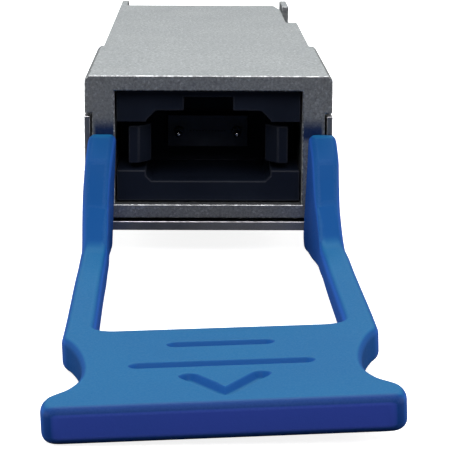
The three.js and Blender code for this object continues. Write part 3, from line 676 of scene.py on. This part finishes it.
def tab_window():
    """The opening between the arms, from above."""
    half = 7.6
    end = -30.25
    side = [Vector((7.28, 3.5)), Vector((7.28, -0.2))]
    side += bezier((7.28, -0.2), (7.5, -2.8), (half, -5.4), (half, -8))
    side += bezier((half, end + 1.4), (half, end + 0.5), (half - 0.5, end), (half - 1.4, end))
    return both_sides(side)


def tab_profile():
    """Side view: a level grip whose arms climb in a wavy gusset. It runs on behind the nose's face."""
    return rounded_outline([
        (2.5, 0, 0),
        (2.5, TAB_TOP, 0),
        (-0.7, TAB_TOP, 0.9),
        (-2.8, 7.35, 3),
        (-5.2, 4.6, 3),
        (-8.5, TAB_THICK, 3.4),
        (TAB_FRONT - 1, TAB_THICK, 0),
        (TAB_FRONT - 1, 0, 0),
    ], steps=5)


def tab_extent():
    """Side view of the space the tab may fill in front of the nose, with its lower rear edge rounded."""
    return rounded_outline([
        (TAB_REAR, -0.02, 1.4),
        (TAB_REAR, THROUGH, 0),
        (TAB_FRONT - 5, THROUGH, 0),
        (TAB_FRONT - 5, -0.02, 0),
    ])


def arm_corner(side):
    """The wedge taken off the outer top corner of an arm, in front view."""
    outline = [(9.04, 9.6), (9.12, 8.98), (9.28, 8.72), (9.47, 8.1), (9.55, 7.5), (9.62, 6.6),
               (10.6, 6.4), (10.6, 9.6)]
    return prism([(side * x, z) for x, z in outline], "y", -6, 3)


def tab_softness(place):
    """Share of the full edge rounding at a place: a little less round the thumb notches."""
    return 1 - NOTCH_EASING * swell(-place.y, *SOFT_NOTCHES)


def groove_cutter(start, end):
    """A round-ended trough with soft walls, along the line from start to end, closed above the surface."""
    start, end = Vector(start), Vector(end)
    along = math.atan2(end.y - start.y, end.x - start.x)
    half_turn = [math.pi / 2 + math.pi * step / 12 for step in range(13)]
    rims = []
    for step in range(9):
        share = step / 8
        depth = MARK_DEPTH * (1 - smooth(share))
        rims.append((MARK_FLOOR + (MARK_RIM - MARK_FLOOR) * share, TAB_THICK + 0.003 - depth))
    rims.append((MARK_RIM + 0.1, TAB_THICK + 0.5))
    rings = []
    for reach, height in rims:
        ring = []
        for centre, turn in ((start, 0.0), (end, math.pi)):
            for angle in half_turn:
                out = Vector((math.cos(angle + turn + along), math.sin(angle + turn + along))) * reach
                ring.append((*(centre + out), height))
        rings.append(ring)
    return lofted(rings)


def slack(y):
    """How far the worn tab leans to the right and how many degrees it rolls at a place along Y."""
    for (near, near_lean, near_roll), (far, far_lean, far_roll) in zip(SLACK, SLACK[1:]):
        if y > far:
            share = smooth(min(1.0, max(0.0, (near - y) / (near - far))))
            return near_lean + (far_lean - near_lean) * share, near_roll + (far_roll - near_roll) * share
    return SLACK[-1][1:]


def swell(value, rise_start, full, fall_start, end):
    """0 outside rise_start..end, 1 between full and fall_start, with soft flanks."""
    rise = min(1.0, max(0.0, (value - rise_start) / (full - rise_start)))
    fall = min(1.0, max(0.0, (end - value) / (end - fall_start)))
    return smooth(min(rise, fall))


def bend_tab(bm):
    """Slices the tab along its length, sets the gussets' feet askew, then leans and rolls each slice."""
    y = FIRST_SLICE
    while y > TAB_FRONT:
        everything = [*bm.verts, *bm.edges, *bm.faces]
        bmesh.ops.bisect_plane(bm, geom=everything, plane_co=(0, y, 0), plane_no=(0, 1, 0), dist=1e-4)
        y -= SLICE
    pivot = Vector((0, 0, PIVOT_HEIGHT))
    for vert in bm.verts:
        askew = (abs(vert.co.x) - ARM_MIDDLE) * swell(-vert.co.y, *GUSSET_FEET)
        if abs(vert.co.x) > ARM_INNER:
            vert.co.y += FOOT_SKEW * askew
        lean, roll = slack(vert.co.y)
        lean += ARM_LEAN * max(0.0, vert.co.z - LEAN_START) * max(0.0, 1.0 + vert.co.y / LEAN_REACH)
        turned = Matrix.Rotation(-math.radians(roll), 3, "Y") @ (vert.co - pivot)
        vert.co = turned + Vector((lean, 0, PIVOT_HEIGHT))


def prong_pocket(side):
    """The slot in which the slider's tongue sits, a little wider than the tongue."""
    outline = [(8.91, 0.4), (8.91, -0.12), (8.36, -0.67), (8.36, -3.24), (8.89, -3.24), (8.89, -0.83),
               (9.44, -0.28), (9.44, 0.4)]
    return prism([(side * x, y) for x, y in outline], "z", PRONG_LOW, PRONG_HIGH)


def make_pull_tab():
    bm = prism(tab_plan(), "z", -1, 11)
    bm = cut(bm, prism(tab_window(), "z", -2, THROUGH))
    bm = combined(bm, prism(tab_profile(), "x", -THROUGH, THROUGH), "INTERSECT")
    bm = eased(cleaned(bm, 0.03), TAB_EDGE, segments=5, softness=tab_softness)
    bm = combined(bm, prism(tab_extent(), "x", -THROUGH, THROUGH), "INTERSECT")
    bm = cut(bm, arm_corner(-1), arm_corner(1))
    bm = cut(bm, *[groove_cutter(*ends) for ends in GRIP_MARKS])
    bend_tab(bm)
    bm = cut(bm, prong_pocket(-1), prong_pocket(1))
    piece("pull_tab_fine", bm, "latch", "blue_tab", ["pull_tab"])


# ---------------------------------------------------------------- turned and wound pieces


def revolved(rings, sides, centre, axis="z"):
    """A closed surface round an axis from rings of (radius or function of angle, place along the axis)."""
    loops = []
    for radius, place in rings:
        loop = []
        for side in range(sides):
            angle = 2 * math.pi * side / sides
            reach = radius(angle) if callable(radius) else radius
            u, v = reach * math.cos(angle), reach * math.sin(angle)
            point = (u, v, place) if axis == "z" else (u, place, v)
            loop.append(Vector(centre) + Vector(point))
        loops.append(loop)
    return lofted(loops)


SOCKET_FLATS = 1.08
THREAD_CORE = 0.70
THREAD_HEIGHT = 0.09
THREAD_PITCH = 0.4


def hexagon(angle):
    """Distance from the middle to the side of the hexagonal socket."""
    return SOCKET_FLATS / 2 / math.cos((angle + math.pi / 6) % (math.pi / 3) - math.pi / 6)


def socket_mouth(angle):
    """The socket's outline where it widens at the face of the head."""
    return hexagon(angle) + 0.06


def thread(place):
    """The thread's radius as a function of angle, at a place along the screw."""

    def crest(angle):
        phase = (place / THREAD_PITCH - angle / (2 * math.pi)) % 1.0
        return THREAD_CORE + THREAD_HEIGHT * (1 - abs(2 * phase - 1)) ** 0.8

    return crest


def screw_rings(head, tip):
    """Rings of a pan-head screw that points up: its socket, head, neck, thread and tip."""
    outline = [(0.3, 0.6), (hexagon, 0.55), (hexagon, 0.06), (socket_mouth, 0), (1.22, 0), (1.33, 0.04),
               (1.39, 0.12), (1.4, 0.24), (1.4, 1.05), (1.36, 1.12), (0.72, 1.13), (THREAD_CORE, 1.3)]
    rings = [(radius, head + above) for radius, above in outline]
    start = head + 1.5
    end = tip - 0.35
    steps = int((end - start) / THREAD_PITCH * 8)
    for step in range(steps + 1):
        place = start + (end - start) * step / steps
        rings.append((thread(place), place))
    return rings + [(0.62, tip - 0.15), (0.45, tip)]


def make_screws():
    """Pan-head cover screws with a hexagonal socket and a rolled thread."""
    for node in [name for name in BODY_OF if name.startswith("cover_screw")]:
        low, high = box_of(node)
        centre = ((low.x + high.x) / 2, (low.y + high.y) / 2, 0)
        bm = revolved(screw_rings(low.z, high.z), 36, centre)
        piece(node + "_fine", bm, "housing", "screw_steel", [node])


def make_guide_pins():
    """Ground pins with a rounded tip and a small chamfer at the rear."""
    for node in ("guide_pin_left", "guide_pin_right"):
        low, high = box_of(node)
        centre = ((low.x + high.x) / 2, 0, (low.z + high.z) / 2)
        tip = [(0.06, low.y), (0.12, low.y + 0.02), (0.19, low.y + 0.09), (0.26, low.y + 0.22),
               (0.31, low.y + 0.42), (0.34, low.y + 0.75)]
        rear = [(0.34, high.y - 0.08), (0.3, high.y)]
        bm = revolved(tip + rear, 28, centre, axis="y")
        piece(node + "_fine", bm, "housing", "guide_pin_steel", [node])


SPRING_WIRE = 0.11
SPRING_TURNS = 7
SPRING_CLOSING = 0.045


def wire_ring(middle, out):
    """The wire's round section at a place on the coil, with out as the direction away from its axis."""
    turns = [2 * math.pi * side / 10 for side in range(10)]
    return [middle + SPRING_WIRE * (out * math.cos(turn) + Vector((0, math.sin(turn), 0))) for turn in turns]


def wound(low, high):
    """A coil along Y with closed, flat ends, which fills a box."""
    centre = Vector(((low.x + high.x) / 2, 0, (low.z + high.z) / 2))
    coil = (high.x - low.x) / 2 - SPRING_WIRE
    length = high.y - low.y - 2 * SPRING_WIRE
    stations = SPRING_TURNS * 24
    rings = []
    for station in range(stations + 1):
        share = station / stations
        angle = 2 * math.pi * SPRING_TURNS * share
        lift = share - SPRING_CLOSING * math.sin(2 * math.pi * share)
        out = Vector((math.cos(angle), 0, math.sin(angle)))
        middle = centre + out * coil + Vector((0, low.y + SPRING_WIRE + length * lift, 0))
        rings.append(wire_ring(middle, out))
    return lofted(rings)


def make_springs():
    """The return springs, wound to fill their boxes; the real ones shorten as the latch is pulled."""
    for node in ("return_spring_left", "return_spring_right"):
        low, high = box_of(node)
        made = piece(node + "_fine", wound(low, high), "housing", "spring_steel", [node])
        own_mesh(made)


# ---------------------------------------------------------------- board, optics and label


FIBRES = 12
FIBRE_PITCH = 0.25
PADS = 19
PAD_PITCH = 0.8
PAD_HALF = 0.25
SUPPLY_PADS = (9, 10)
LEADS = 8
LEAD_PITCH = 0.5


def across_fibres(index):
    """Place of a fibre along X."""
    return (index - (FIBRES - 1) / 2) * FIBRE_PITCH


def joined(parts):
    """Separate solids gathered in one mesh."""
    whole = bmesh.new()
    for part in parts:
        mesh = bpy.data.meshes.new("part")
        part.to_mesh(mesh)
        part.free()
        whole.from_mesh(mesh)
        bpy.data.meshes.remove(mesh)
    return whole


def pad_setback(index):
    """How far a pad ends short of the longest ones: 0 for ground, more for supply, most for signals."""
    if index % 3 == 0:
        return 0.0
    return 0.25 if index in SUPPLY_PADS else 0.5


def make_contacts():
    """Gold pads of the edge connector: long for ground, middling for supply and short for signals."""
    for node in ("edge_contacts_top", "edge_contacts_bottom"):
        low, high = box_of(node)
        pads = []
        for index in range(PADS):
            x = (index - (PADS - 1) / 2) * PAD_PITCH
            end = high.y - pad_setback(index)
            outline = rounded_outline([(x - PAD_HALF, low.y, 0.1), (x + PAD_HALF, low.y, 0.1),
                                       (x + PAD_HALF, end, 0.1), (x - PAD_HALF, end, 0.1)], steps=3)
            pads.append(prism(outline, "z", low.z, high.z))
        bm = eased(joined(pads), 0.012, segments=2, crease=LOOSE_CREASE)
        piece(node + "_fine", bm, "housing", "contact_gold", [node])


def make_label():
    """A blank film with round corners."""
    corner = 0.8
    low, high = box_of("bottom_label")
    outline = rounded_outline([(low.x, low.y, corner), (high.x, low.y, corner),
                               (high.x, high.y, corner), (low.x, high.y, corner)])
    bm = eased(prism(outline, "z", low.z, high.z), 0.02, segments=2, crease=LOOSE_CREASE)
    piece("bottom_label_fine", bm, "housing", "label_film", ["bottom_label"])


def make_ribbon():
    """Coated fibres side by side, in a gentle rise from the ferrule to the lens block."""
    low, high = box_of("fibre_ribbon")
    pitch = (high.x - low.x) / FIBRES
    thick = 0.28
    rise = high.z - low.z - thick - 0.02
    steps = 24
    outline = []
    for index in range(FIBRES):
        for step in range(4):
            angle = math.pi * (1 - step / 4)
            x = low.x + pitch * (index + 0.5 + math.cos(angle) / 2)
            outline.append((x, 0.09 + 0.05 * math.sin(angle)))
    outline.append((high.x, 0.09))
    section = outline + [(x, -z) for x, z in reversed(outline)]
    rings = []
    for step in range(steps + 1):
        share = step / steps
        y = low.y + (high.y - low.y) * share
        z = low.z + 0.01 + thick / 2 + rise * smooth(share)
        rings.append([(x, y, z + dz) for x, dz in section])
    piece("fibre_ribbon_fine", lofted(rings), "housing", "fibre", ["fibre_ribbon"], sharp=math.radians(80))


def make_fibre_ends():
    """Polished glass ends of the fibres in the face of the ferrule."""
    low, high = box_of("mt_ferrule")
    middle = (low.z + high.z) / 2
    rings = [(0.05, low.y - 0.015), (0.0625, low.y - 0.01), (0.0625, low.y + 0.03)]
    ends = [revolved(rings, 16, (across_fibres(index), 0, middle), axis="y") for index in range(FIBRES)]
    piece("fibre_ends", joined(ends), "housing", "port_black")


def dimple(x, y, top):
    """A cutter for the shallow round mark beside a package's first lead."""
    return revolved([(0.176, top - 0.03), (0.22, top + 0.1)], 24, (x, y, 0))


def make_chips():
    """Moulded packages with a round mark in one corner."""
    for node in ("retimer_transmit", "retimer_receive", "microcontroller", "supply_chip"):
        low, high = box_of(node)
        fine(node, "chip_black", 0.06, dimple(low.x + 0.5, low.y + 0.5, high.z))


def make_leads():
    """Rows of flat leads along the four sides of the microcontroller."""
    low, high = box_of("microcontroller")
    middle = (low + high) / 2
    top = low.z + 0.2
    leads = []
    for index in range(LEADS):
        place = (index - (LEADS - 1) / 2) * LEAD_PITCH
        for side in (-1, 1):
            x = middle.x + side * (high.x - low.x) / 2
            y = middle.y + side * (high.y - low.y) / 2
            leads.append(slab(x, middle.y + place, 0.02, 0.12, low.z, top))
            leads.append(slab(middle.x + place, y, 0.12, 0.02, low.z, top))
    piece("microcontroller_leads", joined(leads), "housing", "can_metal")


def make_small_parts():
    """Capacitors and resistors with plated ends, in rows beside the chips."""
    base = box_of("circuit_board")[1].z + 0.01
    # Place of a row's first part, the number of parts and the step to the next one.
    rows = [
        (-6.4, 37.2, 5, (0, 0.85)), (5.9, 37.2, 5, (0, 0.85)), (-4.6, 34.6, 9, (1.15, 0)),
        (-4.6, 43.0, 9, (1.15, 0)), (-6.4, 47.2, 6, (0, 0.85)), (5.95, 47.2, 6, (0, 0.85)),
        (-0.6, 54.2, 1, (1, 0)), (-0.6, 55.6, 3, (0, 0.9)), (1.0, 44.8, 4, (1.2, 0)),
    ]
    bodies, ends = [], []
    for x, y, count, step in rows:
        along, across = (Vector((1, 0)), Vector((0, 1))) if step[1] else (Vector((0, 1)), Vector((1, 0)))
        for index in range(count):
            at = Vector((x, y)) + Vector(step) * index
            bodies.append(slab(*at, *(along * 0.22 + across * 0.17), base + 0.01, base + 0.29))
            for side in (-1, 1):
                middle = at + along * side * 0.24
                ends.append(slab(*middle, *(along * 0.07 + across * 0.18), base, base + 0.3))
    piece("small_part_bodies", eased(joined(bodies), 0.02, 2), "housing", "ferrite")
    piece("small_part_ends", eased(joined(ends), 0.025, 2), "housing", "can_metal")


def make_lens():
    """The lens block and a row of small domes on it, one for each fibre."""
    low, high = box_of("lens_block")
    fine("lens_block", "lens_resin", 0.08)
    turns = [math.radians(turn) for turn in (0, 20, 40, 60, 80)]
    rings = [(0.11 * math.cos(turn), high.z - 0.02 + 0.06 * math.sin(turn)) for turn in turns]
    domes = [revolved(rings, 14, (across_fibres(index), low.y + 1.1, 0)) for index in range(FIBRES)]
    piece("lens_domes", joined(domes), "housing", "lens_resin")


def make_oscillator():
    """A metal can whose lid is set off by a groove."""
    low, high = box_of("oscillator")
    lid = block((low.x + 0.25, low.y + 0.25, high.z - 0.04), (high.x - 0.25, high.y - 0.25, high.z))
    around = block((low.x + 0.22, low.y + 0.22, high.z - 0.05),
                   (high.x - 0.22, high.y - 0.22, high.z + 0.1))
    fine("oscillator", "can_metal", 0.05, cut(around, lid))


# ---------------------------------------------------------------- assembly

fine("top_shell", "die_cast", 0.1)
fine("bottom_shell", "die_cast", 0.12)
fine("latch_slider", "latch_steel", 0.07)
fine("mpo_receptacle", "port_black", 0.12)
fine("latch_hook_left", "port_black", 0.12)
fine("latch_hook_right", "port_black", 0.12)
fine("mt_ferrule", "ferrule_resin", 0.05)
fine("pin_keeper", "latch_steel", 0.06)
fine("shield_gasket", "shield_foam", 0.25)
fine("circuit_board", "board", 0.04)
for die in ("laser_array", "detector_array", "laser_driver", "receiver_amplifier"):
    fine(die, "bare_die", 0.012)
for side in ("left", "right"):
    fine(f"thermal_pad_{side}", "thermal_silicone", 0.15)
    fine(f"inductor_{side}", "ferrite", 0.18)
make_pull_tab()
make_screws()
make_guide_pins()
make_springs()
make_contacts()
make_label()
make_ribbon()
make_fibre_ends()
make_chips()
make_leads()
make_small_parts()
make_lens()
make_oscillator()

# ---------------------------------------------------------------- floor, light and camera

FLOOR_HALF = 3.0
FLOOR_GAP = 0.0001

# Area lights that aim at the frame's origin: place, width, power and colour, in metres and watts.
LIGHTS = {
    "overhead": ((0.0, 0.33, 0.47), 0.4, 1.95, (0.97, 1.0, 1.0)),
    "key": ((0.0, -0.42, 0.42), 0.35, 1.7, (1.0, 0.97, 1.0)),
    "rim": ((0.0, -0.1, 0.5), 0.12, 0.5, (1.0, 1.0, 1.0)),
    "left": ((-0.5, -0.05, 0.12), 0.3, 1.4, (1.0, 1.0, 1.0)),
    "right": ((0.5, -0.05, 0.12), 0.3, 1.4, (1.0, 1.0, 1.0)),
}

# The camera's place from the middle of the nose's top edge in millimetres, its yaw, pitch and roll in
# degrees, and its focal length.
CAMERA_PLACE = (-1.04, -141.12, 18.15)
CAMERA_TURNS = (0.944, 11.844, 0.327)
CAMERA_LENS = 151.1


def floor_finish():
    """A white sweep: the camera sees it evenly lit, and it reflects little light into the metal."""
    material = bpy.data.materials.new("floor")
    material.use_nodes = True
    tree = material.node_tree
    tree.nodes.clear()
    output = tree.nodes.new("ShaderNodeOutputMaterial")
    chooser = tree.nodes.new("ShaderNodeMixShader")
    ray = tree.nodes.new("ShaderNodeLightPath")
    seen = tree.nodes.new("ShaderNodeAddShader")
    glow = tree.nodes.new("ShaderNodeEmission")
    glow.inputs["Color"].default_value = (1.0, 1.0, 1.0, 1.0)
    glow.inputs["Strength"].default_value = 0.86
    matt = tree.nodes.new("ShaderNodeBsdfDiffuse")
    matt.inputs["Color"].default_value = (0.8, 0.8, 0.8, 1.0)
    hidden = tree.nodes.new("ShaderNodeBsdfDiffuse")
    hidden.inputs["Color"].default_value = (0.08, 0.08, 0.085, 1.0)
    tree.links.new(glow.outputs[0], seen.inputs[0])
    tree.links.new(matt.outputs[0], seen.inputs[1])
    tree.links.new(ray.outputs["Is Camera Ray"], chooser.inputs["Fac"])
    tree.links.new(hidden.outputs[0], chooser.inputs[1])
    tree.links.new(seen.outputs[0], chooser.inputs[2])
    tree.links.new(chooser.outputs[0], output.inputs["Surface"])
    return material


def make_floor():
    mesh = bpy.data.meshes.new("floor")
    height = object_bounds()[0].z - FLOOR_GAP
    corners = [(x * FLOOR_HALF, y * FLOOR_HALF, height) for x, y in ((-1, -1), (1, -1), (1, 1), (-1, 1))]
    mesh.from_pydata(corners, [], [(0, 1, 2, 3)])
    mesh.materials.append(floor_finish())
    floor = bpy.data.objects.new("floor", mesh)
    scene.collection.objects.link(floor)


def make_world():
    """A studio that is dim in front of the port and paler elsewhere, and white for the camera."""
    world = bpy.data.worlds.new("studio")
    scene.world = world
    world.use_nodes = True
    tree = world.node_tree
    backdrop = tree.nodes["Background"]
    backdrop.inputs["Color"].default_value = (1.0, 1.0, 1.0, 1.0)
    backdrop.inputs["Strength"].default_value = 1.0
    direction = tree.nodes.new("ShaderNodeSeparateXYZ")
    tree.links.new(tree.nodes.new("ShaderNodeTexCoord").outputs["Generated"], direction.inputs[0])
    strength = tree.nodes.new("ShaderNodeMapRange")
    for socket, value in {"From Min": -0.75, "From Max": -0.1, "To Min": 0.05, "To Max": 0.25}.items():
        strength.inputs[socket].default_value = value
    tree.links.new(direction.outputs["Y"], strength.inputs["Value"])
    dim = tree.nodes.new("ShaderNodeBackground")
    dim.inputs["Color"].default_value = (0.94, 0.97, 1.0, 1.0)
    tree.links.new(strength.outputs["Result"], dim.inputs["Strength"])
    chooser = tree.nodes.new("ShaderNodeMixShader")
    ray = tree.nodes.new("ShaderNodeLightPath")
    tree.links.new(ray.outputs["Is Camera Ray"], chooser.inputs["Fac"])
    tree.links.new(dim.outputs[0], chooser.inputs[1])
    tree.links.new(backdrop.outputs[0], chooser.inputs[2])
    tree.links.new(chooser.outputs[0], tree.nodes["World Output"].inputs["Surface"])


def make_lights():
    for name, (place, width, power, colour) in LIGHTS.items():
        light = bpy.data.lights.new(name, "AREA")
        light.shape = "SQUARE"
        light.size = width
        light.energy = power
        light.color = colour
        holder = bpy.data.objects.new(name, light)
        holder.location = place
        aim = Vector((0, 0, 0)) - Vector(place)
        holder.rotation_euler = aim.to_track_quat("-Z", "Y").to_euler()
        scene.collection.objects.link(holder)


def make_camera():
    """A long lens just above the tab, looking down at the port."""
    nose_top = TO_FRAME @ Vector((0, 0, box_of("top_shell")[1].z))
    yaw, pitch, roll = (math.radians(angle) for angle in CAMERA_TURNS)
    forward = Vector((math.sin(yaw) * math.cos(pitch), math.cos(yaw) * math.cos(pitch), -math.sin(pitch)))
    level = Vector((math.cos(yaw), -math.sin(yaw), 0))
    upright = level.cross(forward)
    across = level * math.cos(roll) + upright * math.sin(roll)
    upward = upright * math.cos(roll) - level * math.sin(roll)
    camera = bpy.data.cameras.new("camera")
    camera.lens = CAMERA_LENS
    camera.clip_start = 0.01
    camera.clip_end = 20.0
    holder = bpy.data.objects.new("camera", camera)
    place = nose_top + Vector(CAMERA_PLACE) * MM
    basis = Matrix((across, upward, -forward)).transposed().to_4x4()
    holder.matrix_world = Matrix.Translation(place) @ basis
    scene.collection.objects.link(holder)
    scene.camera = holder


make_camera()
make_floor()
make_world()
make_lights()
scene.view_settings.view_transform = "Standard"
